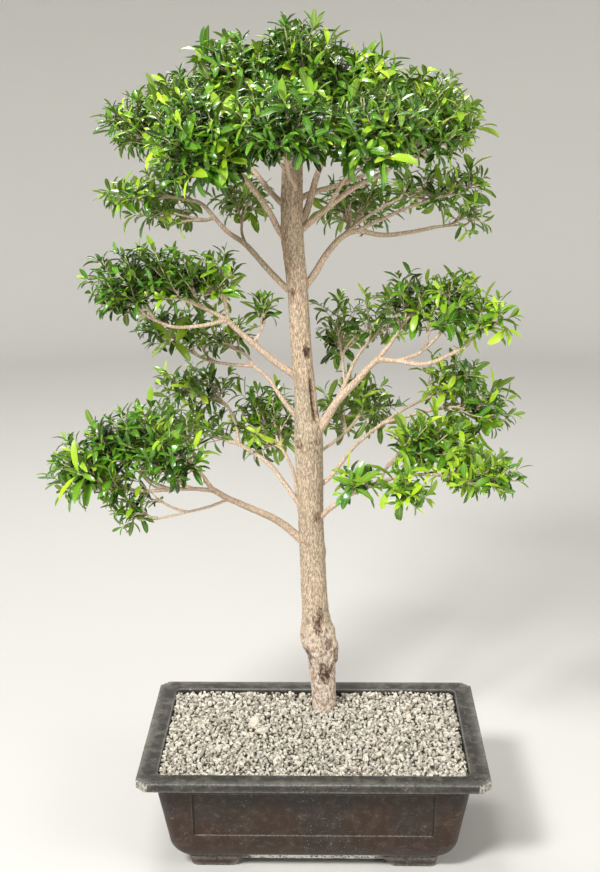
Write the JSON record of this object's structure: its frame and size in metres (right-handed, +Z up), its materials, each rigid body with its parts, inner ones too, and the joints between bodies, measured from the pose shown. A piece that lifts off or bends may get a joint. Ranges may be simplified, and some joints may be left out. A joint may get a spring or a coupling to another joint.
{
  "type": "potted bonsai tree",
  "caption": "Brush cherry bonsai, a tall straight trunk with tiered leafy sprays, in a dark rectangular training pot topped with pale grit.",
  "frame": {"origin": "on the ground, under the middle of the whole piece's bounding box", "axes": "+Z up the tree, +X to the right along the pot's long side, +Y towards the back of the pot"},
  "size_m": [0.6416, 0.4564, 1.1008],
  "materials": {
    "pot": "satin dark brown, scuffed",
    "screen": "matt black",
    "soil": "moist granular mix",
    "grit": "dry angular pumice",
    "bark": "finely fissured bark",
    "leaf": "glossy dark leaf",
    "new_leaf": "glossy young leaf"
  },
  "bodies": {
    "root": {"pot": "pot", "drain_screen_left": "screen", "drain_screen_right": "screen", "potting_soil": "soil", "grit": "grit", "trunk": "bark", "spray_low_left_tip": "leaf", "spray_low_left_top": "leaf", "spray_low_left_inner": "leaf", "spray_low_left_back": "leaf", "spray_low_left_trail": "leaf", "spray_back_left_far": "leaf", "spray_back_left_low": "leaf", "spray_back_left_trunk": "leaf", "spray_mid_left_tip": "leaf", "spray_mid_left_top": "leaf", "spray_mid_left_inner": "leaf", "spray_mid_left_low": "leaf", "spray_mid_left_under": "leaf", "spray_mid_left_spur": "leaf", "spray_high_left_tip": "leaf", "spray_high_left_low": "leaf", "spray_high_left_inner": "leaf", "spray_crown_left": "leaf", "spray_crown_left_back": "leaf", "spray_crown_left_front": "leaf", "spray_crown_front": "leaf", "spray_crown_right_front": "leaf", "spray_crown_right": "leaf", "spray_crown_right_back": "leaf", "spray_crown_back": "leaf", "spray_crown_top_left": "leaf", "spray_crown_top": "leaf", "spray_crown_top_right": "leaf", "spray_high_right_tip": "new_leaf", "spray_high_right_mid": "leaf", "spray_high_right_front": "leaf", "spray_high_right_back": "leaf", "spray_mid_right_tip": "new_leaf", "spray_mid_right_top": "leaf", "spray_mid_right_inner": "leaf", "spray_mid_right_back": "leaf", "spray_mid_right_rear": "leaf", "spray_low_right_top": "new_leaf", "spray_low_right_out": "new_leaf", "spray_low_right_back": "new_leaf", "spray_low_right_mid": "new_leaf", "spray_low_right_tip": "new_leaf", "spray_low_right_front": "new_leaf", "spray_low_right_near": "new_leaf"}
  },
  "joints": []
}
